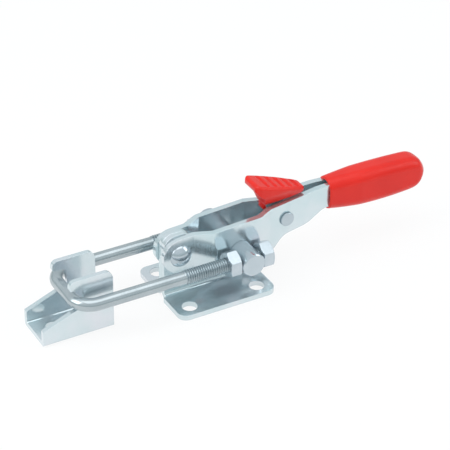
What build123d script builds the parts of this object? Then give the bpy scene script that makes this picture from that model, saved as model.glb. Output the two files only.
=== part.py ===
from build123d import *
import os
from math import atan2, cos, degrees, radians, sin, tan

os.makedirs("parts", exist_ok=True)

# Over centre toggle latch, closed. +X points along the handle, -X towards the catch plate,
# -Y is the near side and +Z is up. The origin is the centre of the base's four holes, on the
# face that the base is screwed down on. The catch plate stands on the same plane.

# Sheet and running clearances
base_sheet = 2.3
arm_sheet = 2.5
catch_sheet = 2.1
side_gap = 0.1
pin_gap = 0.05

# Base feet
hole_spacing_x = 31.0
hole_spacing_y = 28.0
mount_hole_d = 6.4
foot_end_margin = 6.5
foot_side_margin = 5.8
foot_corner_r = 4.0
bend_inner_r = 1.5

# Main pivot
pivot_x = -14.4
pivot_z = 20.6
rivet_d = 8.0
rivet_head_d = 9.6
rivet_head_h = 2.6

# Base upright
upright_left_x = -20.9
upright_crown = 8.4
upright_top_right_x = -8.2
upright_corner_r = 5.5
upright_neck_r = 3.0
upright_slope_run = 4.5
upright_slope_rise = 2.0
saddle_run = 5.5
nose_tip_x = 20.5
nose_height = 2.3
nose_bottom_z = 9.7
slot_left_x = 15.5

# Trunnion
trunnion_x = 10.8
trunnion_z = 17.0
trunnion_d = 10.0
trunnion_overhang = 5.9
trunnion_chamfer = 0.4
saddle_gap = 0.3

# U-bolt
leg_spacing = 28.4
shank_d = 5.35
thread_d = 6.0
thread_start_x = -18.3
bolt_bend_r = 8.0
bolt_end_x = -63.4
leg_tip_x = 21.6
tip_chamfer = 0.7

# Nuts
nut_flats = 10.0
nut_thickness = 5.0

# Lever arms
arm_end_r = 7.8
arm_wide_inner_y = 5.7
joggle_start_x = -8.0
joggle_end_x = -1.0
pinch_start_x = 20.5
pinch_end_x = 26.0
pinch_inner_y = 3.1
close_x = 72.0
arm_tip_x = 97.0
arm_tip_r = 4.0
arm_bend_r = 2.5
arm_top_z = 32.9
arm_top_x = 50.0
arm_shoulder_x = 20.0
arm_shoulder_z = 30.2
tang_bottom_z = 22.6
lobe_right_x = 26.6
lobe_bottom_z = 9.2
arm_throat_x = 33.0
arm_throat_z = 16.3
arm_waist_x = 45.0
arm_waist_z = 18.0
arm_mouth_setback = 2.6
arm_lobe_run = 6.0
arm_belly_r = 12.0
arm_lobe_r = 3.0
arm_throat_r = 7.0
arm_waist_r = 12.0
arm_tang_r = 8.0
arm_shoulder_r = 20.0
arm_top_r = 12.0

# Handle grip
grip_start_x = 55.5
grip_end_x = 103.2
grip_mid_x = 80.0
grip_full_x = 70.0
grip_half_thickness = 6.2
grip_mouth_half_thickness = 5.0
grip_mouth_top_z = 34.6
grip_mouth_bottom_z = 20.5
grip_mid_top_z = 35.1
grip_mid_bottom_z = 18.4
grip_end_top_z = 34.5
grip_end_bottom_z = 19.1
grip_edge_r = 4.6
grip_end_r = 6.8
grip_mouth_r = 1.0
grip_fit = 0.15
handle_rivet_x = 80.0
handle_rivet_z = 27.0
handle_rivet_d = 4.0
handle_rivet_head_d = 6.4
handle_rivet_head_h = 0.9

# Safety catch
catch_pin_x = 34.3
catch_pin_z = 23.9
catch_pin_d = 4.0
catch_pin_head_d = 6.2
catch_pin_head_h = 0.9
hook_sheet = 2.0
hook_side_gap = 0.15
hook_hub_r = 3.6
hook_reach = 4.2
hook_lip_x = 20.75
hook_lip_height = 2.6
hook_lip_drop = 1.35
pad_left_x = 19.6
pad_right_x = 44.0
pad_arm_gap = 0.8
pad_back_thickness = 1.9
pad_ramp_rise = 7.8
pad_lip_thickness = 4.6
pad_lip_setback = 0.6
pad_front_half_width = 6.1
pad_back_half_width = 4.2
pad_corner_r = 2.5
pad_full_length = 9.0
pad_flank_r = 12.0
pad_keel_x = 24.8
pad_keel_drop = 2.2
pad_keel_half_width = 2.4
pad_flank_rise = 5.6
pad_throat_x = 23.6
pad_throat_rise = 5.0
neck_left_x = 22.6
neck_right_x = 32.5
neck_bottom_z = 29.2
neck_half_thickness = 2.05
rib_count = 5
rib_pitch = 3.75
rib_first_x = 25.4
rib_groove_width = 1.7
rib_groove_depth = 0.7
rib_margin = 1.3

# Safety catch spring
spring_wire = 0.6
spring_pitch = 0.65
spring_whole_turns = 2
spring_bore_gap = 0.25
spring_side_gap = 0.3
spring_bend_r = 0.8
spring_free_leg_angle = 268.0
spring_free_leg = 6.5
spring_fixed_leg = 6.0
spring_hole_d = 1.0

# Catch plate
catch_left_x = -77.2
catch_right_x = -46.7
catch_leg_margin = 5.1
catch_low_z = 7.2
ramp_angle = 21.5
seat_gap = 1.45
roof_gap = 2.5
hook_lip_left_x = -65.3
hook_top_z = 26.5
hook_corner_r = 3.2
catch_fold_outer_r = 1.5
catch_fold_inner_r = 0.7
catch_hole_d = 5.4
catch_hole_spacing = 15.0

# Worked out from the sizes above
shank_r = shank_d / 2
leg_y = leg_spacing / 2
foot_length = hole_spacing_x + 2 * foot_end_margin
foot_half_width = hole_spacing_y / 2 + foot_side_margin
trunnion_half_length = leg_y + trunnion_overhang
catch_half_width = leg_y - catch_leg_margin
pad_bottom_z = arm_top_z + pad_arm_gap
pad_right_top_z = pad_bottom_z + pad_back_thickness
pad_left_top_z = pad_right_top_z + pad_ramp_rise
arm_base_inner_y = base_sheet + side_gap
arm_crown_z = pivot_z + arm_end_r
far_reach = 60.0
spring_coil_r = catch_pin_d / 2 + spring_bore_gap + spring_wire / 2


def slab(face, y_low, y_high):
    """A side-view face, drawn in X and Z, given thickness from y_low to y_high."""
    return extrude(Plane.XZ.offset(-y_high) * face, amount=y_high - y_low)


def cross_cylinder(x, z, diameter, y_low, y_high):
    """A cylinder along Y at (x, z)."""
    disc = Pos(x, z) * Circle(diameter / 2)
    return slab(disc, y_low, y_high)


def far_side(part):
    """The mirror image of a near-side piece."""
    return mirror(part, about=Plane.XZ)


def rounded(points, radii):
    """A closed outline with its own corner radius at each point."""
    face = make_face(Polyline(*points, close=True))
    for point, radius in zip(points, radii):
        if radius > 0:
            corner = face.vertices().sort_by_distance(Vector(point[0], point[1], 0))[0]
            face = fillet(corner, radius)
    return face


def base_outline():
    """Side view of one upright: crown round the pivot, saddle under the trunnion and a nose."""
    crown_z = pivot_z + upright_crown
    saddle_z = trunnion_z - trunnion_d / 2 - saddle_gap
    nose_top_z = nose_bottom_z + nose_height
    points = [
        (upright_left_x, 0),
        (upright_left_x, crown_z),
        (upright_top_right_x, crown_z),
        (upright_top_right_x + upright_slope_run, saddle_z + upright_slope_rise),
        (trunnion_x - saddle_run, saddle_z),
        (nose_tip_x, min(saddle_z, nose_top_z)),
        (nose_tip_x, nose_bottom_z),
        (slot_left_x, nose_bottom_z),
        (slot_left_x, 0),
    ]
    radii = [0, upright_corner_r, upright_corner_r, upright_neck_r, upright_neck_r, 0.6, 0.3, 1.2, 0]
    return rounded(points, radii)


def base_bracket():
    """One folded bracket on the near side: upright plate, bend and foot."""
    bend_outer_r = bend_inner_r + base_sheet
    upright = slab(base_outline(), -base_sheet, 0)
    upright -= Pos(0, 0, bend_outer_r / 2) * Box(far_reach * 2, far_reach, bend_outer_r)
    left, right = -foot_length / 2, foot_length / 2
    foot = make_face(Polyline((left, -bend_outer_r), (right, -bend_outer_r),
                              (right, -foot_half_width), (left, -foot_half_width), close=True))
    foot = fillet(foot.vertices().group_by(Axis.Y)[0], foot_corner_r)
    foot = extrude(foot, amount=base_sheet)
    quarter = make_face([
        CenterArc((0, 0), bend_outer_r, 0, 90), Line((0, bend_outer_r), (0, bend_inner_r)),
        CenterArc((0, 0), bend_inner_r, 0, 90), Line((bend_inner_r, 0), (bend_outer_r, 0))])
    bend_plane = Plane(origin=(upright_left_x, -bend_outer_r, bend_outer_r), x_dir=(0, 1, 0),
                       z_dir=(1, 0, 0))
    turned = bend_plane * (Rot(0, 0, -90) * quarter)
    bend = extrude(turned, amount=slot_left_x - upright_left_x)
    bracket = upright + bend + foot
    for x in (-hole_spacing_x / 2, hole_spacing_x / 2):
        bracket -= Pos(x, -hole_spacing_y / 2, base_sheet / 2) * Cylinder(
            mount_hole_d / 2, base_sheet * 3)
    bracket -= cross_cylinder(pivot_x, pivot_z, rivet_d, -base_sheet, 0)
    return bracket


def main_rivet():
    """The main pivot: a straight shank through the four plates with a domed head each side."""
    head_face_y = base_sheet + side_gap + arm_sheet + pin_gap
    shank = cross_cylinder(pivot_x, pivot_z, rivet_d, -head_face_y, head_face_y)
    dome_r = (rivet_head_d ** 2 / 4 + rivet_head_h ** 2) / (2 * rivet_head_h)
    ball = Pos(pivot_x, -head_face_y - rivet_head_h + dome_r, pivot_z) * Sphere(dome_r)
    head = ball & cross_cylinder(pivot_x, pivot_z, rivet_head_d + 1,
                                 -head_face_y - rivet_head_h - 1, -head_face_y)
    return shank + head + far_side(head)


def arm_outline():
    """Side view of a lever arm: pivot end, trunnion boss, throat, waist and the tang."""
    crown = (pivot_x, arm_crown_z)
    points = [
        (pivot_x, pivot_z - arm_end_r),
        (trunnion_x - arm_lobe_run, lobe_bottom_z),
        (lobe_right_x, lobe_bottom_z),
        (arm_throat_x, arm_throat_z),
        (arm_waist_x, arm_waist_z),
        (grip_start_x - arm_mouth_setback, tang_bottom_z),
        (arm_tip_x, tang_bottom_z),
        (arm_tip_x, arm_top_z),
        (arm_top_x, arm_top_z),
        (arm_shoulder_x, arm_shoulder_z),
        crown,
    ]
    radii = [0, arm_belly_r, arm_lobe_r, arm_throat_r, arm_waist_r, arm_tang_r, arm_tip_r, arm_tip_r,
             arm_top_r, arm_shoulder_r, 0]
    outline = rounded(points, radii)
    outline += Pos(pivot_x, pivot_z) * Circle(arm_end_r)
    return outline


def arm_path(extra=0.0):
    """Plan view of the near arm's middle line, from the pivot end to the tip."""
    half = arm_sheet / 2 + extra
    return [
        (pivot_x - arm_end_r - 2, -arm_base_inner_y - half),
        (joggle_start_x, -arm_base_inner_y - half),
        (joggle_end_x, -arm_wide_inner_y - half),
        (pinch_start_x, -arm_wide_inner_y - half),
        (pinch_end_x, -pinch_inner_y - half),
        (close_x, -half),
        (arm_tip_x + 2, -half),
    ]


def lever_arm():
    """The near lever arm: one stamped plate, set out by a joggle and brought back in again."""
    path = FilletPolyline(*arm_path(), radius=arm_bend_r)
    ribbon = extrude(trace(path, line_width=arm_sheet), amount=far_reach)
    arm = ribbon & slab(arm_outline(), -far_reach, far_reach)
    reach = arm_wide_inner_y + arm_sheet * 2
    arm -= cross_cylinder(pivot_x, pivot_z, rivet_d + 2 * pin_gap, -reach, 0)
    arm -= cross_cylinder(trunnion_x, trunnion_z, trunnion_d + 2 * pin_gap, -reach, 0)
    arm -= cross_cylinder(catch_pin_x, catch_pin_z, catch_pin_d, -reach, 0)
    arm -= cross_cylinder(handle_rivet_x, handle_rivet_z, handle_rivet_d, -reach, 0)
    return arm


def arm_outer_y(x):
    """How far a lever arm's outer face lies from the middle plane, right of the pinch."""
    share = max(0.0, (close_x - x) / (close_x - pinch_end_x))
    return pinch_inner_y * share + arm_sheet


def headed_pin(x, z, diameter, head_diameter, head_height, half_length):
    """A rivet along Y with a flat head each side."""
    pin = cross_cylinder(x, z, diameter, -half_length, half_length)
    head = cross_cylinder(x, z, head_diameter, -half_length - head_height, -half_length)
    rim = head.edges().group_by(Axis.Y)[0]
    head = fillet(rim, head_height * 0.45)
    return pin + head + far_side(head)


def grip_outline():
    """Side view of the grip: narrow at the mouth, fullest past the middle, round at the end."""
    top = Spline((grip_start_x, grip_mouth_top_z), (grip_mid_x, grip_mid_top_z),
                 (grip_end_x - grip_end_r, grip_end_top_z))
    bottom = Spline((grip_end_x - grip_end_r, grip_end_bottom_z), (grip_mid_x, grip_mid_bottom_z),
                    (grip_start_x, grip_mouth_bottom_z))
    end = ThreePointArc(top @ 1, (grip_end_x, (grip_end_top_z + grip_end_bottom_z) / 2), bottom @ 0)
    return make_face([top, end, bottom, Line(bottom @ 1, top @ 0)])


def handle_grip():
    """The moulded sleeve over the joined arms."""
    body = slab(grip_outline(), -far_reach, far_reach)
    slim, full = grip_mouth_half_thickness, grip_half_thickness
    right_x = grip_end_x + 1
    shape = Polyline((grip_start_x - 1, -slim), (grip_full_x, -full), (right_x, -full),
                     (right_x, full), (grip_full_x, full), (grip_start_x - 1, slim), close=True)
    body &= extrude(make_face(shape), amount=far_reach)
    sides = [f for f in body.faces() if abs(f.normal_at().Y) > 0.9]
    long_edges = [e for f in sides for e in f.edges() if abs(abs(e.center().X - grip_full_x)) > 0.01
                  and e.center().X > grip_start_x + 1]
    body = fillet(long_edges, grip_edge_r)
    mouth = body.faces().sort_by(Axis.X)[0]
    body = fillet(mouth.edges(), grip_mouth_r)
    start_y = arm_outer_y(grip_start_x - 4) + grip_fit
    flat_y = arm_sheet + grip_fit
    plan = make_face(Polyline((grip_start_x - 4, -start_y), (close_x, -flat_y),
                              (arm_tip_x + grip_fit, -flat_y), (arm_tip_x + grip_fit, flat_y),
                              (close_x, flat_y), (grip_start_x - 4, start_y), close=True))
    pocket = extrude(plan, amount=far_reach)
    low, high = tang_bottom_z - grip_fit, arm_top_z + grip_fit
    side = make_face(Polyline((grip_start_x - 4, low), (arm_tip_x + grip_fit, low),
                              (arm_tip_x + grip_fit, high), (grip_start_x - 4, high), close=True))
    pocket &= slab(side, -far_reach, far_reach)
    room = cross_cylinder(handle_rivet_x, handle_rivet_z, handle_rivet_head_d + 2 * grip_fit,
                          -arm_sheet - handle_rivet_head_h - grip_fit,
                          arm_sheet + handle_rivet_head_h + grip_fit)
    return body - pocket - room


def trunnion():
    """The cross pin that carries the U-bolt: turned, chamfered and drilled for both legs."""
    pin = cross_cylinder(trunnion_x, trunnion_z, trunnion_d, -trunnion_half_length,
                         trunnion_half_length)
    rims = pin.edges().filter_by(GeomType.CIRCLE)
    pin = chamfer(rims, trunnion_chamfer)
    for y in (-leg_y, leg_y):
        pin -= Pos(trunnion_x, y, trunnion_z) * Rot(0, 90, 0) * Cylinder(thread_d / 2, trunnion_d * 2)
    return pin


def u_bolt():
    """The round-wire U-bolt: closed end, two shanks and two threaded leg ends."""
    z = trunnion_z
    path = FilletPolyline((thread_start_x, -leg_y, z), (bolt_end_x, -leg_y, z),
                          (bolt_end_x, leg_y, z), (thread_start_x, leg_y, z), radius=bolt_bend_r)
    section = Plane(origin=path @ 0, z_dir=path % 0) * Circle(shank_r)
    bolt = sweep(section, path=path)
    for y in (-leg_y, leg_y):
        length = leg_tip_x - thread_start_x
        leg = Pos((leg_tip_x + thread_start_x) / 2, y, z) * Rot(0, 90, 0) * Cylinder(
            thread_d / 2, length)
        rims = leg.edges().filter_by(GeomType.CIRCLE)
        leg = chamfer(rims.sort_by(Axis.X)[-1], tip_chamfer)
        leg = chamfer(leg.edges().filter_by(GeomType.CIRCLE).sort_by(Axis.X)[0],
                      (thread_d - shank_d) / 2)
        bolt += leg
    return bolt


def hex_nut(x_low, y):
    """A hexagon nut along X with its corners turned down, on the leg at y."""
    x_mid = x_low + nut_thickness / 2
    prism = Rot(0, 90, 0) * extrude(RegularPolygon(nut_flats / 2, 6, major_radius=False),
                                    amount=nut_thickness / 2, both=True)
    corner_r = nut_flats / (2 * cos(radians(30)))
    cone = Rot(0, 90, 0) * Cylinder(corner_r, nut_thickness)
    cone = chamfer(cone.edges().filter_by(GeomType.CIRCLE), 0.45, 0.9)
    nut = prism & cone
    nut -= Rot(0, 90, 0) * Cylinder(thread_d / 2, nut_thickness * 2)
    return Pos(x_mid, y, trunnion_z) * nut


def pad_outline():
    """Side view of the thumb pad: a ramp that rises to an overhanging lip, over a low keel."""
    lip_bottom_z = pad_left_top_z - pad_lip_thickness
    points = [
        (pad_left_x, pad_left_top_z),
        (pad_right_x, pad_right_top_z),
        (pad_right_x, pad_bottom_z),
        (pad_keel_x, pad_bottom_z - pad_keel_drop),
        (pad_throat_x, pad_bottom_z - pad_keel_drop + pad_throat_rise),
        (pad_left_x + pad_lip_setback, lip_bottom_z),
    ]
    return rounded(points, [1.8, 1.2, 1.0, 0.8, 3.0, 1.6])


def pad_plan():
    """Plan view of the thumb pad: wide at the front, narrower at the back."""
    full_x = pad_left_x + pad_full_length
    points = [
        (pad_left_x, -pad_front_half_width),
        (full_x, -pad_front_half_width),
        (pad_right_x, -pad_back_half_width),
        (pad_right_x, pad_back_half_width),
        (full_x, pad_front_half_width),
        (pad_left_x, pad_front_half_width),
    ]
    back_r = pad_back_half_width - 1.0
    return rounded(points, [pad_corner_r, pad_flank_r, back_r, back_r, pad_flank_r, pad_corner_r])


def pad_end_view():
    """End view of the thumb pad: its flanks draw in to a keel that fits between the arms."""
    keel_z = pad_bottom_z - pad_keel_drop
    top_z = pad_left_top_z + 1
    wide = pad_front_half_width
    points = [
        (-wide, top_z),
        (-wide, keel_z + pad_flank_rise),
        (-pad_keel_half_width, keel_z),
        (pad_keel_half_width, keel_z),
        (wide, keel_z + pad_flank_rise),
        (wide, top_z),
    ]
    face = rounded(points, [0, 2.0, 0.6, 0.6, 2.0, 0])
    side = Plane(origin=(pad_left_x - 1, 0, 0), x_dir=(0, 1, 0), z_dir=(1, 0, 0)) * face
    return extrude(side, amount=pad_right_x - pad_left_x + 2)


def safety_pad():
    """The moulded thumb pad of the safety catch, with its grooves and its neck."""
    pad = slab(pad_outline(), -pad_front_half_width - 1, pad_front_half_width + 1)
    pad &= extrude(pad_plan(), amount=far_reach)
    pad &= pad_end_view()
    slope = atan2(pad_right_top_z - pad_left_top_z, pad_right_x - pad_left_x)
    for i in range(rib_count):
        x = rib_first_x + i * rib_pitch
        z = pad_left_top_z + (x - pad_left_x) * sin(slope) / cos(slope)
        width = 2 * (pad_back_half_width + (pad_front_half_width - pad_back_half_width)
                     * (pad_right_x - x) / (pad_right_x - pad_left_x) - rib_margin)
        groove = Pos(x, 0, z) * Rot(0, -degrees(slope), 0) * Box(
            rib_groove_width, width, rib_groove_depth * 2)
        pad -= groove
    neck = make_face(Polyline((neck_left_x, pad_bottom_z + 2), (neck_right_x, pad_bottom_z + 2),
                              (neck_right_x, neck_bottom_z), (neck_left_x + 2.6, neck_bottom_z),
                              close=True))
    pad += slab(neck, -neck_half_thickness, neck_half_thickness)
    return pad - slab(hook_outline(), -hook_side_gap - hook_sheet, -hook_side_gap)


def hook_outline():
    """Side view of the steel hook: root in the pad, hub on the pin, shank and lip."""
    lip_top_z = nose_bottom_z - hook_lip_drop
    lip_bottom_z = lip_top_z - hook_lip_height
    lip_right_x = nose_tip_x + hook_reach + 0.8
    root_z = pad_bottom_z + 1.8
    points = [
        (hook_lip_x, lip_top_z),
        (nose_tip_x + 1.3, lip_top_z),
        (catch_pin_x - hook_hub_r, catch_pin_z - 3.0),
        (neck_left_x + 3.4, neck_bottom_z + 1.5),
        (neck_left_x + 2.6, root_z),
        (neck_right_x - 1.2, root_z),
        (catch_pin_x + hook_hub_r, catch_pin_z + 2.0),
        (catch_pin_x + hook_hub_r - 0.6, catch_pin_z - 3.2),
        (lip_right_x, lip_bottom_z),
        (hook_lip_x + 0.6, lip_bottom_z),
    ]
    return rounded(points, [0.3, 0.8, 3.0, 2.0, 0.8, 0.8, 3.0, 3.0, 2.0, 0.5])


def safety_hook():
    """The stamped steel hook that is moulded into the pad."""
    hook = slab(hook_outline(), -hook_side_gap - hook_sheet, -hook_side_gap)
    return hook - cross_cylinder(catch_pin_x, catch_pin_z, catch_pin_d + 2 * pin_gap,
                                 -hook_sheet * 2, hook_sheet)


def bent_leg(coil_end, direction, length, end_direction, end_length):
    """The middle line of a spring leg: straight off the coil, then round a bend."""
    bend = coil_end + direction * length
    return FilletPolyline(coil_end, bend, bend + end_direction * end_length, radius=spring_bend_r)


def safety_spring():
    """Torsion spring round the catch pin: one leg behind the hook, one in a hole of the arm."""
    start_angle = spring_free_leg_angle - 270
    sweep_angle = 90 - start_angle + 360 * spring_whole_turns
    height = spring_pitch * sweep_angle / 360
    helix = Helix(pitch=spring_pitch, height=height, radius=spring_coil_r, lefthand=True)
    across_hook = hook_side_gap + hook_sheet + spring_side_gap
    through_arm = pinch_inner_y - height + arm_sheet / 2
    free_leg = bent_leg(helix @ 0, (helix % 0) * -1, spring_free_leg, Vector(0, 0, -1), across_hook)
    fixed_leg = bent_leg(helix @ 1, helix % 1, spring_fixed_leg, Vector(0, 0, 1), through_arm)
    path = Wire(free_leg.edges() + helix.edges() + fixed_leg.edges())
    section = Plane(origin=path @ 0, z_dir=path % 0) * Circle(spring_wire / 2)
    spring = sweep(section, path=path)
    place = Pos(catch_pin_x, spring_side_gap + spring_wire / 2, catch_pin_z)
    return place * Rot(0, -start_angle, 0) * Rot(-90, 0, 0) * spring


def catch_outline():
    """Side view of a catch wall: low end, ramp, seat for the U-bolt and the hook over it."""
    seat_x = bolt_end_x + shank_r + seat_gap
    ramp_top_z = catch_low_z + tan(radians(ramp_angle)) * (seat_x - catch_left_x)
    roof_z = trunnion_z + shank_r + roof_gap
    points = [
        (catch_left_x, 0),
        (catch_left_x, catch_low_z),
        (seat_x, ramp_top_z),
        (seat_x, roof_z),
        (hook_lip_left_x, roof_z),
        (hook_lip_left_x, hook_top_z),
        (catch_right_x, hook_top_z),
        (catch_right_x, 0),
    ]
    radii = [0, 0.5, 1.4, 2.2, 1.0, hook_corner_r * 0.8, hook_corner_r, 0]
    return rounded(points, radii)


def catch_plate():
    """The catch plate: one strip folded to a channel with a hook on each wall."""
    outer = catch_half_width
    inner = catch_half_width - catch_sheet
    channel = Polyline((-outer, 0), (outer, 0), (outer, 40), (inner, 40), (inner, catch_sheet),
                       (-inner, catch_sheet), (-inner, 40), (-outer, 40), close=True)
    profile = make_face(channel)
    for point in ((-outer, 0), (outer, 0)):
        corner = profile.vertices().sort_by_distance(Vector(point[0], point[1], 0))[0]
        profile = fillet(corner, catch_fold_outer_r)
    for point in ((-inner, catch_sheet), (inner, catch_sheet)):
        corner = profile.vertices().sort_by_distance(Vector(point[0], point[1], 0))[0]
        profile = fillet(corner, catch_fold_inner_r)
    length = catch_right_x - catch_left_x
    section = Plane(origin=(catch_left_x, 0, 0), x_dir=(0, 1, 0), z_dir=(1, 0, 0)) * profile
    strip = extrude(section, amount=length)
    plate = strip & slab(catch_outline(), -far_reach, far_reach)
    middle_x = (catch_left_x + catch_right_x) / 2
    for x in (middle_x - catch_hole_spacing / 2, middle_x + catch_hole_spacing / 2):
        plate -= Pos(x, 0, catch_sheet / 2) * Cylinder(catch_hole_d / 2, catch_sheet * 3)
    return plate


def write(name, part):
    """One STEP file for one named piece."""
    export_step(part, f"parts/{name}.step")


near_bracket = base_bracket()
write("base_bracket_near", near_bracket)
write("base_bracket_far", far_side(near_bracket))
write("main_pivot_rivet", main_rivet())

near_arm = lever_arm()
write("lever_arm_near", near_arm)
spring_hole = cross_cylinder(catch_pin_x - spring_fixed_leg, catch_pin_z + spring_coil_r,
                             spring_hole_d, 0, arm_wide_inner_y + arm_sheet)
write("lever_arm_far", far_side(near_arm) - spring_hole)
write("handle_grip", handle_grip())
write("handle_rivet", headed_pin(handle_rivet_x, handle_rivet_z, handle_rivet_d,
                                 handle_rivet_head_d, handle_rivet_head_h, arm_sheet))

write("trunnion", trunnion())
write("u_bolt", u_bolt())
front_nut_x = trunnion_x - trunnion_d / 2 - nut_thickness
rear_nut_x = trunnion_x + trunnion_d / 2
for side, y in (("near", -leg_y), ("far", leg_y)):
    write(f"front_nut_{side}", hex_nut(front_nut_x, y))
    write(f"rear_nut_{side}", hex_nut(rear_nut_x, y))

catch_pin_head_y = arm_outer_y(catch_pin_x - catch_pin_head_d / 2) + pin_gap
write("safety_catch_pad", safety_pad())
write("safety_catch_hook", safety_hook())
write("safety_catch_pin", headed_pin(catch_pin_x, catch_pin_z, catch_pin_d, catch_pin_head_d,
                                     catch_pin_head_h, catch_pin_head_y))
write("safety_catch_spring", safety_spring())

write("catch_plate", catch_plate())
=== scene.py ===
"""Over centre toggle latch: the looks of its pieces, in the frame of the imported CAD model."""

from math import copysign, cos, floor, pi, radians, sin, sqrt

import bmesh
import bpy
from mathutils import Matrix, Vector


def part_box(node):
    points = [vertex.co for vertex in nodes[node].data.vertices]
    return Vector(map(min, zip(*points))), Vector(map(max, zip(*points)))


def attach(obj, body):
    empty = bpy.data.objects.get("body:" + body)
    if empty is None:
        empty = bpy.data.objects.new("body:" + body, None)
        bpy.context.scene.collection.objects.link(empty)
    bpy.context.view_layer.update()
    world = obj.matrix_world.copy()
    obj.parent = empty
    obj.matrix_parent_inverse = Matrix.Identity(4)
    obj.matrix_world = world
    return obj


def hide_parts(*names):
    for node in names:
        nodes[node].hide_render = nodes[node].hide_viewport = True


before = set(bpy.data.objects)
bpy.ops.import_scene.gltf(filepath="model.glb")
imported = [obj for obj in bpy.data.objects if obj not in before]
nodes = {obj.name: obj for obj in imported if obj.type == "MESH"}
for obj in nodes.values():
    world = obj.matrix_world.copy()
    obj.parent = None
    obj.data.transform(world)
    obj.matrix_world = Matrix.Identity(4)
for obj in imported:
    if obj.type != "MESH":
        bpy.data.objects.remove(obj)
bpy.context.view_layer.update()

# All sizes are written in millimetres and turned to metres by MM.
MM = 0.001

# Camera, at the photograph's viewing angle
CAMERA_AZIMUTH = radians(-29.53)
CAMERA_ELEVATION = radians(32.68)
CAMERA_ROLL = radians(0.69)
CAMERA_DISTANCE = 750.9 * MM
CAMERA_SIDE = 7.49 * MM
CAMERA_RISE = 23.82 * MM
CAMERA_LENS = 146.3
CAMERA_SENSOR = 36.0
CAMERA_CLIP_START = 10 * MM

# Merging, and telling the vertices at the end of a piece from the others
MERGE_DISTANCE = 0.001 * MM
GRIP_MERGE_DISTANCE = 0.02 * MM
END_TOLERANCE = 0.01 * MM
FLAT_ANGLE = radians(0.6)

# Edges, and the angles up to which faces are shaded as one
STAMPED_EDGE = 0.22 * MM
TURNED_EDGE = 0.15 * MM
PIN_HEAD_EDGE = 0.35 * MM
WIRE_EDGE = 0.01 * MM
STEEL_SMOOTH_ANGLE = radians(38)
MOULDED_SMOOTH_ANGLE = radians(60)
ROD_SMOOTH_ANGLE = radians(50)
PAD_SMOOTH_ANGLE = radians(50)

# U-bolt: a ridge of the thread rises at THREAD_SLOPE, past a flat root, up to its full depth
THREAD_PITCH = 1.0 * MM
THREAD_DEPTH = 0.55 * MM
THREAD_SLOPE = 1.7
THREAD_ROOT_FLAT = 0.25
THREAD_RUN_OUT = 1.2 * MM
THREAD_START_X = -18.3 * MM
THREAD_FINISH_MARGIN = 0.2 * MM
STEPS_PER_PITCH = 8
BOLT_SHANK_R = 2.675 * MM
BOLT_BEND_R = 8.0 * MM
BOLT_BEND_STEPS = 14
THREAD_R = 3.0 * MM
TIP_CHAMFER = 0.7 * MM
ROD_SIDES = 40

# Share of each quarter turn round a box that runs along a flat side, before and after the corner
BOX_FLAT_SHARE = 0.1

# Grip, in millimetres: GRIP_TOP and GRIP_BOTTOM are places and heights of its outline
GRIP_STEPS = 72
GRIP_SIDES = 80
GRIP_TOP = ((55.5, 34.6), (80.0, 35.1), (96.4, 34.5))
GRIP_BOTTOM = ((55.5, 20.5), (80.0, 18.4), (96.4, 19.1))
GRIP_MOUTH_HALF_WIDTH = 5.0
GRIP_HALF_WIDTH = 6.2
GRIP_FULL_X = 70.0
GRIP_CORNER_R = 4.6
GRIP_END_R = 7.76
GRIP_EASE_SHARE = 0.8
GRIP_MOUTH_SHRINK = (1, 0.76, 0.82)
GRIP_MOUTH_REACH = 1.0
GRIP_MOUTH_DEPTH = 5.0
GRIP_MOUTH_EDGE = 0.7

# Thumb pad, in millimetres: its outline from the side is PAD_TOP and PAD_BOTTOM, places and
# heights, and from above PAD_WIDTH, places and half widths
PAD_STEPS = 120
PAD_SIDES = 80
PAD_TOP = ((19.6, 43.4), (44.0, 35.6))
PAD_BOTTOM = ((19.6, 39.1), (20.4, 38.8), (23.3, 36.9), (23.9, 35.6), (24.9, 31.9), (25.4, 31.4),
              (37.0, 32.3), (44.0, 33.6))
PAD_WIDTH = ((19.6, 6.1), (26.0, 6.1), (31.0, 5.75), (44.0, 4.2))
PAD_TOP_END_R = (1.9, 1.2)
PAD_BOTTOM_END_R = (2.2, 0.6)
PAD_PLAN_END_R = (2.6, 3.0)
PAD_BROW_R = 1.3
PAD_LEAST_THICKNESS = 0.3
PAD_KEEL_Z = 31.5
PAD_KEEL_HALF_WIDTH = 2.4
PAD_FLANK_RISE = 5.6
PAD_FLANK_POWER = 0.8
PAD_FIRST_GROOVE_X = 25.4
PAD_GROOVE_PITCH = 3.75
PAD_GROOVE_COUNT = 5
PAD_GROOVE_DEPTH = 0.7
PAD_GROOVE_HALF_WIDTH = 1.15
PAD_GROOVE_SLOPE = 0.7
PAD_GROOVE_MARGIN = 1.0
PAD_GROOVE_END_SLOPE = 0.8
PAD_NECK = ((24.9, -2.05, 29.2), (32.5, 2.05, 34.0))
PAD_NECK_EDGE = 0.3

# Where the pad's underside, flank and brow end, as shares of the way up one side of its section
PAD_UNDER_END = 0.15
PAD_FLANK_END = 0.45
PAD_BROW_END = 0.6

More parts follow.
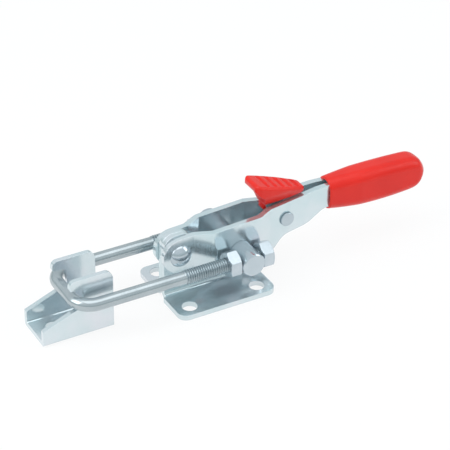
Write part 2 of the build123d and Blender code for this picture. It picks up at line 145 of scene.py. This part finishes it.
# Zinc plating. The spacing of its clouds and of the sheet's waves is judged. Its grain is
# finer than the picture can show, so it is drawn 1.4 mm apart. Passivated zinc is metal under a
# thin clear layer of salts, which scatters part of the light.
ZINC_METALLIC = 0.78
ZINC_CLOUD_SPACING = 22
ZINC_GRAIN_SPACING = 1.4
ZINC_GRAIN_HEIGHT = 0.012 * MM
SHEET_WAVE_SPACING = 14
SHEET_WAVE_HEIGHT = 0.25 * MM
SHEET_TINT = ("#CCDEE2", "#D9E3E7", "#E5E6EC")
TURNED_TINT = ("#B4C0C7", "#C0CBD2", "#CFD6DD")
ROD_TINT = ("#A6B1B5", "#B5BEC2", "#C6CCCF")
# The thread's tint is darker than the rod's: painted shade of the thread's grooves
THREAD_PAINTED_SHADE_TINT = ("#98A6AC", "#A7B3B9", "#B8C2C8")
WIRE_TINT = ("#8E9296", "#9BA0A4", "#A8ADB0")

# Red plastic. The orange-peel of its moulded skin is finer than the picture can show, so it is
# drawn 5 mm apart.
PLASTIC_TINT = ("#DC1D10", "#E32215")
PLASTIC_SHEEN = (0.28, 0.36)
PLASTIC_IOR = 1.42
PLASTIC_CLOUD_SPACING = 16
PLASTIC_SKIN_SPACING = 5
PLASTIC_SKIN_HEIGHT = 0.05 * MM

# Studio
FLOOR_SIZE = 6.0
FLOOR_DROP = 0.02 * MM
FLOOR_GLOW_SHARE = 0.86
FLOOR_TINT = "#F2F4F5"
TENT_TINTS = ((0.0, "#B9C6C7"), (0.26, "#C6D3D5"), (0.42, "#E6EEF1"), (1.0, "#DDE3E6"))
TENT_STRENGTH = 0.95
LAMP_TARGET = Vector((10, 0, 20)) * MM

# Light passes to and fro between the facing plates many times
MAX_BOUNCES = 24
GLOSSY_BOUNCES = 16


# Small helpers for modelling

def deselect_all():
    """Leave edit mode and select nothing."""
    if bpy.context.mode != "OBJECT":
        bpy.ops.object.mode_set(mode="OBJECT")
    bpy.ops.object.select_all(action="DESELECT")


def make_active(piece):
    """Select one piece alone and make it the active one."""
    deselect_all()
    piece.select_set(True)
    bpy.context.view_layer.objects.active = piece


def edit(piece):
    """Start to edit a piece, with nothing of it selected."""
    make_active(piece)
    bpy.ops.object.mode_set(mode="EDIT")
    bpy.ops.mesh.select_all(action="DESELECT")


def done():
    """Go back to object mode."""
    bpy.ops.object.mode_set(mode="OBJECT")


def new_piece(name):
    """Name the primitive that was just added and bring its place into its mesh."""
    piece = bpy.context.active_object
    piece.name = name
    piece.data.name = name
    bpy.ops.object.transform_apply(location=True, rotation=True, scale=True)
    return piece


def select_edges(piece, wanted):
    """Select the edges of the piece in edit mode for which wanted(edge) holds."""
    bpy.ops.mesh.select_mode(type="EDGE")
    mesh = bmesh.from_edit_mesh(piece.data)
    for edge in mesh.edges:
        edge.select_set(wanted(edge))
    mesh.select_flush(True)
    bmesh.update_edit_mesh(piece.data)


def move_vertices(piece, place):
    """Give each vertex the place that place(position) returns."""
    for vertex in piece.data.vertices:
        vertex.co = place(vertex.co.copy())
    piece.data.update()


def rolled_tube(name, steps, sides, place):
    """A grid rolled round into a tube along X: place(share along it, angle) gives each point."""
    deselect_all()
    bpy.ops.mesh.primitive_grid_add(x_subdivisions=steps, y_subdivisions=sides, size=1.0)
    tube = new_piece(name)
    move_vertices(tube, lambda spot: place(spot.x + 0.5, 2 * pi * (spot.y + 0.5)))
    edit(tube)
    bpy.ops.mesh.select_all(action="SELECT")
    bpy.ops.mesh.remove_doubles(threshold=MERGE_DISTANCE)
    done()
    return tube


def apply_modifier(piece, kind, **settings):
    """Add a modifier with its settings and apply it."""
    make_active(piece)
    modifier = piece.modifiers.new(kind.title(), kind)
    for name, value in settings.items():
        setattr(modifier, name, value)
    bpy.ops.object.modifier_apply(modifier=modifier.name)


def round_edges(piece, width, segments=2, angle=radians(32)):
    """Break the sharp edges of a piece with a small radius."""
    apply_modifier(piece, "BEVEL", width=width, segments=segments, limit_method="ANGLE",
                   angle_limit=angle, use_clamp_overlap=True)


def smooth(piece, angle=STEEL_SMOOTH_ANGLE):
    """Shade a piece smooth, but for its sharp edges, and keep its flat faces flat."""
    make_active(piece)
    bpy.ops.object.shade_smooth_by_angle(angle=angle)
    apply_modifier(piece, "WEIGHTED_NORMAL", keep_sharp=True)


def recalculate_normals(piece):
    """Merge doubles and point the faces outwards."""
    edit(piece)
    bpy.ops.mesh.select_all(action="SELECT")
    bpy.ops.mesh.remove_doubles(threshold=MERGE_DISTANCE)
    bpy.ops.mesh.normals_make_consistent(inside=False)
    done()


def finish_piece(piece, body, material, node):
    """Give a piece its material, the body that it moves with and the node that it stands for."""
    piece.data.materials.clear()
    piece.data.materials.append(material)
    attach(piece, body)
    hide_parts(node)


# Small helpers for materials

def linear(hex_colour):
    """A colour written as sRGB hex, turned to linear with full alpha."""
    channels = []
    for start in (1, 3, 5):
        value = int(hex_colour[start:start + 2], 16) / 255
        channels.append(value / 12.92 if value <= 0.04045 else ((value + 0.055) / 1.055) ** 2.4)
    return (*channels, 1.0)


def add_node(tree, kind, links=None, **settings):
    """Add a shader node: settings are its own values or its inputs, links come from sockets."""
    node = tree.nodes.new(kind)
    for name, value in settings.items():
        if hasattr(node, name):
            setattr(node, name, value)
        else:
            node.inputs[name.replace("_", " ")].default_value = value
    for name, socket in (links or {}).items():
        tree.links.new(socket, node.inputs[name])
    return node


def new_material(name):
    """An empty node material with its output."""
    material = bpy.data.materials.new(name)
    material.use_nodes = True
    material.node_tree.nodes.clear()
    output = material.node_tree.nodes.new("ShaderNodeOutputMaterial")
    return material, material.node_tree, output


def colour_ramp(tree, factor, stops):
    """A colour ramp with the given stops of place and hex colour."""
    ramp = add_node(tree, "ShaderNodeValToRGB", {"Fac": factor})
    elements = ramp.color_ramp.elements
    stops = list(stops)
    while len(elements) < len(stops):
        elements.new(0.5)
    for element, (place, colour) in zip(elements, stops):
        element.position = place
        element.color = linear(colour)
    return ramp


def per_metre(millimetres):
    """The scale of a pattern whose features are this many millimetres apart."""
    return 1.0 / (millimetres * MM)


# Materials

def zinc_plated_steel(name, tint, sheen_low, sheen_high, sheet_wave=0.5):
    """Steel with bright blue-white zinc plating: a mirror that the waviness of the metal and the
    fine grain of the plating soften. Bare drawn wire is the same, greyer and duller."""
    material, tree, output = new_material(name)
    place = add_node(tree, "ShaderNodeTexCoord").outputs["Object"]
    cloud = add_node(tree, "ShaderNodeTexNoise", {"Vector": place}, Detail=3.0,
                     Scale=per_metre(ZINC_CLOUD_SPACING), Roughness=0.55)
    grain = add_node(tree, "ShaderNodeTexNoise", {"Vector": place}, Detail=4.0,
                     Scale=per_metre(ZINC_GRAIN_SPACING), Roughness=0.6)
    wave = add_node(tree, "ShaderNodeTexNoise", {"Vector": place}, Detail=1.0,
                    Scale=per_metre(SHEET_WAVE_SPACING))
    colour = colour_ramp(tree, cloud.outputs["Fac"], zip((0.30, 0.55, 0.75), tint))
    rough = add_node(tree, "ShaderNodeMapRange", {"Value": grain.outputs["Fac"]}, From_Min=0.3,
                     From_Max=0.7, To_Min=sheen_low, To_Max=sheen_high)
    wide = add_node(tree, "ShaderNodeBump", {"Height": wave.outputs["Fac"]}, Strength=sheet_wave,
                    Distance=SHEET_WAVE_HEIGHT)
    fine = add_node(tree, "ShaderNodeBump", {"Height": grain.outputs["Fac"],
                                             "Normal": wide.outputs["Normal"]}, Strength=0.25,
                    Distance=ZINC_GRAIN_HEIGHT)
    shader = add_node(tree, "ShaderNodeBsdfPrincipled", {"Base Color": colour.outputs["Color"],
                      "Roughness": rough.outputs["Result"], "Normal": fine.outputs["Normal"]},
                      Metallic=ZINC_METALLIC)
    tree.links.new(shader.outputs["BSDF"], output.inputs["Surface"])
    return material


def moulded_red_plastic():
    """Glossy red plastic as it leaves the mould: a smooth skin with a faint orange-peel and a
    slightly uneven gloss."""
    material, tree, output = new_material("moulded_red_plastic")
    place = add_node(tree, "ShaderNodeTexCoord").outputs["Object"]
    cloud = add_node(tree, "ShaderNodeTexNoise", {"Vector": place}, Detail=2.0,
                     Scale=per_metre(PLASTIC_CLOUD_SPACING))
    skin = add_node(tree, "ShaderNodeTexNoise", {"Vector": place}, Detail=1.0,
                    Scale=per_metre(PLASTIC_SKIN_SPACING))
    colour = colour_ramp(tree, cloud.outputs["Fac"], zip((0.35, 0.65), PLASTIC_TINT))
    rough = add_node(tree, "ShaderNodeMapRange", {"Value": skin.outputs["Fac"]}, From_Min=0.3,
                     From_Max=0.7, To_Min=PLASTIC_SHEEN[0], To_Max=PLASTIC_SHEEN[1])
    bump = add_node(tree, "ShaderNodeBump", {"Height": skin.outputs["Fac"]}, Strength=0.2,
                    Distance=PLASTIC_SKIN_HEIGHT)
    shader = add_node(tree, "ShaderNodeBsdfPrincipled", {"Base Color": colour.outputs["Color"],
                      "Roughness": rough.outputs["Result"], "Normal": bump.outputs["Normal"]},
                      IOR=PLASTIC_IOR)
    tree.links.new(shader.outputs["BSDF"], output.inputs["Surface"])
    return material


zinc_sheet = zinc_plated_steel("zinc_plated_sheet_steel", SHEET_TINT, 0.13, 0.2)
zinc_rod = zinc_plated_steel("zinc_plated_round_steel", ROD_TINT, 0.16, 0.24, 0.15)
# The threaded part is the same plating, drawn darker: painted shade of the thread's grooves
zinc_thread_painted_shade = zinc_plated_steel("zinc_plated_thread_painted_shade", THREAD_PAINTED_SHADE_TINT, 0.24, 0.34, 0.1)
zinc_turned = zinc_plated_steel("zinc_plated_turned_steel", TURNED_TINT, 0.12, 0.2, 0.2)
spring_wire = zinc_plated_steel("drawn_spring_wire", WIRE_TINT, 0.22, 0.34, 0.1)
red_plastic = moulded_red_plastic()


# Steel pieces that keep the frame's own shape

def steel_piece(node, body, name, material=zinc_sheet, edge=STAMPED_EDGE):
    """A steel piece in the frame's own shape, with its edges broken as plating leaves them."""
    piece = bpy.data.objects.new(name, nodes[node].data.copy())
    bpy.context.scene.collection.objects.link(piece)
    edit(piece)
    bpy.ops.mesh.select_all(action="SELECT")
    bpy.ops.mesh.remove_doubles(threshold=MERGE_DISTANCE)
    bpy.ops.mesh.dissolve_limited(angle_limit=FLAT_ANGLE)
    done()
    round_edges(piece, edge)
    smooth(piece)
    finish_piece(piece, body, material, node)


def dress_steel_pieces():
    """All plates, rivets and nuts, the turned trunnion and the spring."""
    for side in ("near", "far"):
        steel_piece(f"base_bracket_{side}", "base", f"bracket_plate_{side}")
        steel_piece(f"lever_arm_{side}", "lever", f"arm_plate_{side}")
    steel_piece("catch_plate", "base", "catch_channel")
    steel_piece("safety_catch_hook", "safety_catch", "hook_plate")
    steel_piece("main_pivot_rivet", "base", "pivot_rivet", zinc_turned, TURNED_EDGE)
    steel_piece("safety_catch_pin", "lever", "catch_rivet", zinc_turned, PIN_HEAD_EDGE)
    steel_piece("handle_rivet", "lever", "grip_rivet", zinc_turned, TURNED_EDGE)
    steel_piece("trunnion", "pull_bolt", "cross_pin", zinc_turned, TURNED_EDGE)
    for side in ("near", "far"):
        for end in ("front", "rear"):
            steel_piece(f"{end}_nut_{side}", "pull_bolt", f"hex_nut_{end}_{side}", zinc_turned,
                        TURNED_EDGE)
    steel_piece("safety_catch_spring", "lever", "torsion_spring", spring_wire, WIRE_EDGE)


# U-bolt

def thread_radius(x, angle, tip_x):
    """Radius of the rolled thread at x along the leg and at an angle round it."""
    turn = x / THREAD_PITCH + angle / (2 * pi)
    phase = turn - floor(turn)
    ridge = THREAD_SLOPE * (1 - abs(2 * phase - 1)) - THREAD_ROOT_FLAT
    run_out = min(1.0, max(0.0, (x - THREAD_START_X) / THREAD_RUN_OUT))
    threaded = THREAD_R - THREAD_DEPTH + THREAD_DEPTH * min(1.0, max(0.0, ridge))
    radius = BOLT_SHANK_R + (threaded - BOLT_SHANK_R) * run_out
    tip = THREAD_R - TIP_CHAMFER + max(0.0, tip_x - x)
    return min(radius, tip)


def threaded_leg(name, axis_y, axis_z, tip_x):
    """The threaded part of one leg, from the shank to its chamfered tip."""
    pitches = (tip_x - THREAD_START_X) / THREAD_PITCH

    def place(share, angle):
        x = THREAD_START_X + share * (tip_x - THREAD_START_X)
        radius = thread_radius(x, angle, tip_x)
        return Vector((x, axis_y + radius * cos(angle), axis_z + radius * sin(angle)))

    leg = rolled_tube(name, round(pitches * STEPS_PER_PITCH), ROD_SIDES, place)
    edit(leg)
    select_edges(leg, lambda edge: edge.is_boundary
                 and min(vertex.co.x for vertex in edge.verts) > tip_x - END_TOLERANCE)
    bpy.ops.mesh.edge_face_add()
    done()
    return leg


def u_bolt():
    """The round rod bent to a U, with its two legs threaded up to their tips."""
    low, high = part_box("u_bolt")
    leg_y = (high.y - low.y) / 2 - THREAD_R
    rod_z = (high.z + low.z) / 2
    tip_x = high.x
    end_x = low.x + BOLT_SHANK_R
    bend_x = end_x + BOLT_BEND_R
    bend_y = leg_y - BOLT_BEND_R
    deselect_all()
    bpy.ops.mesh.primitive_circle_add(vertices=ROD_SIDES, radius=BOLT_SHANK_R, fill_type="NOTHING",
                                      location=(THREAD_START_X, -leg_y, rod_z),
                                      rotation=(0, pi / 2, 0))
    bolt = new_piece("bent_rod")
    edit(bolt)
    bpy.ops.mesh.select_all(action="SELECT")
    push = bpy.ops.mesh.extrude_region_move
    spin = bpy.ops.mesh.spin
    push(TRANSFORM_OT_translate={"value": (bend_x - THREAD_START_X, 0, 0)})
    spin(steps=BOLT_BEND_STEPS, angle=pi / 2, center=(bend_x, -bend_y, rod_z), axis=(0, 0, 1))
    push(TRANSFORM_OT_translate={"value": (0, 2 * bend_y, 0)})
    spin(steps=BOLT_BEND_STEPS, angle=pi / 2, center=(bend_x, bend_y, rod_z), axis=(0, 0, 1))
    push(TRANSFORM_OT_translate={"value": (THREAD_START_X - bend_x, 0, 0)})
    done()
    near_leg = threaded_leg("near_leg", -leg_y, rod_z, tip_x)
    far_leg = threaded_leg("far_leg", leg_y, rod_z, tip_x)
    make_active(bolt)
    near_leg.select_set(True)
    far_leg.select_set(True)
    bpy.ops.object.join()
    recalculate_normals(bolt)
    bpy.ops.object.shade_smooth_by_angle(angle=ROD_SMOOTH_ANGLE)
    finish_piece(bolt, "pull_bolt", zinc_rod, "u_bolt")
    # The threaded faces take the darker material, whose tint is painted shade of the grooves
    bolt.data.materials.append(zinc_thread_painted_shade)
    thread_from_x = THREAD_START_X + THREAD_FINISH_MARGIN
    for face in bolt.data.polygons:
        if min(bolt.data.vertices[i].co.x for i in face.vertices) > thread_from_x:
            face.material_index = 1


# Grip

def through(points, x):
    """The height at x of the curve that runs through three points."""
    height = 0.0
    for i, (xi, zi) in enumerate(points):
        share = zi
        for j, (xj, _) in enumerate(points):
            if j != i:
                share *= (x - xj) / (xi - xj)
        height += share
    return height


def rounded_box(turn, half_width, half_height, corner):
    """A point of a box outline with round corners, at a turn of 0 to 4 quarters round it."""
    flat = BOX_FLAT_SHARE
    corner = min(corner, half_width, half_height)
    quarter = min(3, floor(turn))
    bend = min(1.0, max(0.0, (turn - quarter - flat) / (1 - 2 * flat)))
    angle = (quarter + bend) * pi / 2
    aside = min(1.0, min(abs(turn - 1), abs(turn - 3)) / flat)
    above = min(1.0, min(turn, abs(turn - 2), abs(turn - 4)) / flat)
    y = copysign(aside, cos(turn * pi / 2)) * (half_width - corner) + corner * cos(angle)
    z = copysign(above, sin(turn * pi / 2)) * (half_height - corner) + corner * sin(angle)
    return y, z


def grip_section(x, end_x):
    """Middle height, half width and half height of the grip at x."""
    top, bottom = through(GRIP_TOP, x), through(GRIP_BOTTOM, x)
    half_height = (top - bottom) / 2
    past = x - (end_x - GRIP_END_R)
    if past > 0:
        half_height = min(half_height, sqrt(max(0.0, GRIP_END_R ** 2 - past ** 2)))
    slim = min(1.0, max(0.0, (GRIP_FULL_X - x) / (GRIP_FULL_X - GRIP_TOP[0][0])))
    half_width = GRIP_HALF_WIDTH + (GRIP_MOUTH_HALF_WIDTH - GRIP_HALF_WIDTH) * slim
    past = x - (end_x - GRIP_CORNER_R)
    if past > 0:
        half_width += sqrt(max(0.0, GRIP_CORNER_R ** 2 - past ** 2)) - GRIP_CORNER_R
    return (top + bottom) / 2, half_width, half_height


def handle_grip():
    """The moulded sleeve: a soft-cornered tube, fuller past its mouth and round at its end."""
    low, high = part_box("handle_grip")
    start_x, end_x = low.x / MM, high.x / MM

    def place(share, angle):
        past, rest = max(0.0, share - GRIP_EASE_SHARE), 1 - GRIP_EASE_SHARE
        eased = min(share, GRIP_EASE_SHARE) + rest * sin(past / rest * pi / 2)
        x = start_x + eased * (end_x - start_x)
        middle, half_width, half_height = grip_section(x, end_x)
        y, z = rounded_box(angle / (pi / 2), half_width, half_height, GRIP_CORNER_R)
        return Vector((x, y, middle + z)) * MM

    grip = rolled_tube("grip_sleeve", GRIP_STEPS, GRIP_SIDES, place)
    edit(grip)
    bpy.ops.mesh.select_all(action="SELECT")
    bpy.ops.mesh.remove_doubles(threshold=GRIP_MERGE_DISTANCE)
    select_edges(grip, lambda edge: edge.is_boundary
                 and max(v.co.x for v in edge.verts) < low.x + GRIP_MOUTH_REACH * MM)
    mouth = Vector((low.x, 0, (GRIP_TOP[0][1] + GRIP_BOTTOM[0][1]) / 2 * MM))
    bpy.ops.mesh.extrude_region_move()
    bpy.ops.transform.resize(value=GRIP_MOUTH_SHRINK, center_override=mouth)
    inwards = (GRIP_MOUTH_DEPTH * MM, 0, 0)
    bpy.ops.mesh.extrude_region_move(TRANSFORM_OT_translate={"value": inwards})
    bpy.ops.mesh.edge_face_add()
    done()
    recalculate_normals(grip)
    round_edges(grip, GRIP_MOUTH_EDGE * MM, segments=4, angle=radians(50))
    smooth(grip, MOULDED_SMOOTH_ANGLE)
    finish_piece(grip, "lever", red_plastic, "handle_grip")


# Thumb pad

def between(points, x):
    """The value at x on a line that joins the points, which run from left to right."""
    for (x0, z0), (x1, z1) in zip(points, points[1:]):
        if x <= x1:
            return z0 + (z1 - z0) * max(0.0, x - x0) / (x1 - x0)
    return points[-1][1]


def rounding(past, radius):
    """How far a round corner lies inside the sharp one, at this distance past its end."""
    inside = radius - min(max(past, 0.0), radius)
    return radius - sqrt(radius ** 2 - inside ** 2)


def pad_groove(x, y, half_width):
    """Depth of the thumb grooves at a point of the pad's top."""
    number = round((x - PAD_FIRST_GROOVE_X) / PAD_GROOVE_PITCH)
    number = min(PAD_GROOVE_COUNT - 1, max(0, number))
    aside = abs(x - PAD_FIRST_GROOVE_X - number * PAD_GROOVE_PITCH)
    across = (PAD_GROOVE_HALF_WIDTH - aside) / PAD_GROOVE_SLOPE
    along = (half_width - PAD_GROOVE_MARGIN - abs(y)) / PAD_GROOVE_END_SLOPE
    share = min(1.0, max(0.0, across)) * min(1.0, max(0.0, along))
    return PAD_GROOVE_DEPTH * share * share * (3 - 2 * share)


def pad_point(x, turn):
    """A point of the pad's section at x: up one flank and down the other in 4 quarter turns."""
    def end_rounding(radii):
        return rounding(x - PAD_TOP[0][0], radii[0]) + rounding(PAD_TOP[-1][0] - x, radii[1])

    top = between(PAD_TOP, x) - end_rounding(PAD_TOP_END_R)
    bottom = between(PAD_BOTTOM, x) + end_rounding(PAD_BOTTOM_END_R)
    bottom = min(top - PAD_LEAST_THICKNESS, bottom)
    wide = between(PAD_WIDTH, x) - end_rounding(PAD_PLAN_END_R)
    side = 1 if turn < 2 else -1
    share = (turn if turn < 2 else 4 - turn) / 2
    brow = min(PAD_BROW_R, (top - bottom) / 2, wide)

    def flank(z):
        rise = min(1.0, max(0.0, (z - PAD_KEEL_Z) / PAD_FLANK_RISE))
        flare = (wide - PAD_KEEL_HALF_WIDTH) * rise ** PAD_FLANK_POWER
        return min(wide, PAD_KEEL_HALF_WIDTH + flare)

    if share < PAD_UNDER_END:
        y, z = flank(bottom) * share / PAD_UNDER_END, bottom
    elif share < PAD_FLANK_END:
        climb = (share - PAD_UNDER_END) / (PAD_FLANK_END - PAD_UNDER_END)
        z = bottom + (top - brow - bottom) * climb
        y = flank(z)
    elif share < PAD_BROW_END:
        angle = (share - PAD_FLANK_END) / (PAD_BROW_END - PAD_FLANK_END) * pi / 2
        y = flank(top - brow) - brow * (1 - cos(angle))
        z = top - brow * (1 - sin(angle))
    else:
        y = (flank(top - brow) - brow) * (1 - share) / (1 - PAD_BROW_END)
        z = top - pad_groove(x, y, wide)
    return side * y, z


def thumb_pad():
    """The moulded thumb pad: a ramp with soft grooves, a lip and flanks that draw in to a keel."""
    left_x, right_x = PAD_TOP[0][0], PAD_TOP[-1][0]

    def place(share, angle):
        x = left_x + (right_x - left_x) * (0.5 - 0.5 * cos(pi * share))
        y, z = pad_point(x, angle / (pi / 2))
        return Vector((x, y, z)) * MM

    pad = rolled_tube("thumb_pad", PAD_STEPS, PAD_SIDES, place)
    for end_x in (left_x, right_x):
        edit(pad)
        select_edges(pad, lambda edge: edge.is_boundary
                     and max(abs(v.co.x - end_x * MM) for v in edge.verts) < END_TOLERANCE)
        bpy.ops.mesh.edge_face_add()
        done()
    low, high = PAD_NECK
    deselect_all()
    bpy.ops.mesh.primitive_cube_add(size=1.0, location=(Vector(low) + Vector(high)) / 2 * MM,
                                    scale=(Vector(high) - Vector(low)) * MM)
    neck = new_piece("pad_neck")
    round_edges(neck, PAD_NECK_EDGE * MM)
    make_active(pad)
    neck.select_set(True)
    bpy.ops.object.join()
    recalculate_normals(pad)
    bpy.ops.object.shade_smooth_by_angle(angle=PAD_SMOOTH_ANGLE)
    finish_piece(pad, "safety_catch", red_plastic, "safety_catch_pad")


# Surroundings

def floor_and_background():
    """A pale floor that keeps a faint shadow, and a white background."""
    deselect_all()
    bpy.ops.mesh.primitive_plane_add(size=FLOOR_SIZE, location=(0, 0, -FLOOR_DROP))
    floor_piece = new_piece("studio_floor")
    material, tree, output = new_material("white_studio_floor")
    light_path = add_node(tree, "ShaderNodeLightPath")
    seen = add_node(tree, "ShaderNodeMath", {0: light_path.outputs["Is Camera Ray"],
                                             1: light_path.outputs["Is Glossy Ray"]},
                    operation="MAXIMUM")
    share = add_node(tree, "ShaderNodeMath", {0: seen.outputs["Value"]}, operation="MULTIPLY")
    share.inputs[1].default_value = FLOOR_GLOW_SHARE
    paper = add_node(tree, "ShaderNodeBsdfDiffuse", Color=linear(FLOOR_TINT))
    glow = add_node(tree, "ShaderNodeEmission", Color=(1, 1, 1, 1), Strength=1.0)
    mix = add_node(tree, "ShaderNodeMixShader", {0: share.outputs["Value"],
                                                 1: paper.outputs["BSDF"],
                                                 2: glow.outputs["Emission"]})
    tree.links.new(mix.outputs["Shader"], output.inputs["Surface"])
    floor_piece.data.materials.append(material)


def studio_world():
    """White to the camera, and to all else a bright tent, a little darker near the horizon."""
    world = bpy.data.worlds.new("studio")
    bpy.context.scene.world = world
    world.use_nodes = True
    tree = world.node_tree
    tree.nodes.clear()
    output = tree.nodes.new("ShaderNodeOutputWorld")
    direction = add_node(tree, "ShaderNodeTexCoord").outputs["Generated"]
    parts = add_node(tree, "ShaderNodeSeparateXYZ", {"Vector": direction})
    tent = colour_ramp(tree, parts.outputs["Z"], TENT_TINTS)
    light_path = add_node(tree, "ShaderNodeLightPath")
    tent_light = add_node(tree, "ShaderNodeBackground", {"Color": tent.outputs["Color"]},
                          Strength=TENT_STRENGTH)
    white = add_node(tree, "ShaderNodeBackground", Color=(1, 1, 1, 1), Strength=1.0)
    mix = add_node(tree, "ShaderNodeMixShader", {0: light_path.outputs["Is Camera Ray"],
                                                 1: tent_light.outputs["Background"],
                                                 2: white.outputs["Background"]})
    tree.links.new(mix.outputs["Shader"], output.inputs["Surface"])


def soft_box(name, azimuth, elevation, distance, width, height, power):
    """A rectangular white lamp that looks at the middle of the latch."""
    way = Vector((sin(azimuth) * cos(elevation), -cos(azimuth) * cos(elevation), sin(elevation)))
    lamp = bpy.data.lights.new(name, "AREA")
    lamp.shape = "RECTANGLE"
    lamp.size = width
    lamp.size_y = height
    lamp.energy = power
    holder = bpy.data.objects.new(name, lamp)
    bpy.context.scene.collection.objects.link(holder)
    holder.location = LAMP_TARGET + way * distance
    holder.rotation_euler = way.to_track_quat("Z", "Y").to_euler()


def light_the_studio():
    """A large overhead box, a key from the left and a weak fill from the right."""
    soft_box("overhead_box", azimuth=0, elevation=radians(82), distance=0.9, width=0.9, height=0.7,
             power=2.3)
    soft_box("key_box", azimuth=radians(-95), elevation=radians(38), distance=0.9, width=0.5,
             height=0.6, power=2.6)
    soft_box("fill_box", azimuth=radians(60), elevation=radians(30), distance=1.1, width=0.35,
             height=0.6, power=1.6)


def place_camera():
    """The camera, turned round the latch and moved sideways to the photograph's framing."""
    back = Vector((sin(CAMERA_AZIMUTH) * cos(CAMERA_ELEVATION),
                   -cos(CAMERA_AZIMUTH) * cos(CAMERA_ELEVATION), sin(CAMERA_ELEVATION)))
    level = Vector((cos(CAMERA_AZIMUTH), sin(CAMERA_AZIMUTH), 0))
    upright = back.cross(level)
    right = level * cos(CAMERA_ROLL) + upright * sin(CAMERA_ROLL)
    up = upright * cos(CAMERA_ROLL) - level * sin(CAMERA_ROLL)
    place = right * CAMERA_SIDE + up * CAMERA_RISE + back * CAMERA_DISTANCE
    lens = bpy.data.cameras.new("photo_camera")
    lens.lens = CAMERA_LENS
    lens.sensor_width = CAMERA_SENSOR
    lens.clip_start = CAMERA_CLIP_START
    camera = bpy.data.objects.new("photo_camera", lens)
    bpy.context.scene.collection.objects.link(camera)
    turned = Matrix((right, up, back)).transposed().to_4x4()
    camera.matrix_world = Matrix.Translation(place) @ turned
    bpy.context.scene.camera = camera


dress_steel_pieces()
u_bolt()
handle_grip()
thumb_pad()
floor_and_background()
studio_world()
light_the_studio()
place_camera()
bpy.context.scene.view_settings.view_transform = "Standard"
bpy.context.scene.cycles.max_bounces = MAX_BOUNCES
bpy.context.scene.cycles.glossy_bounces = GLOSSY_BOUNCES
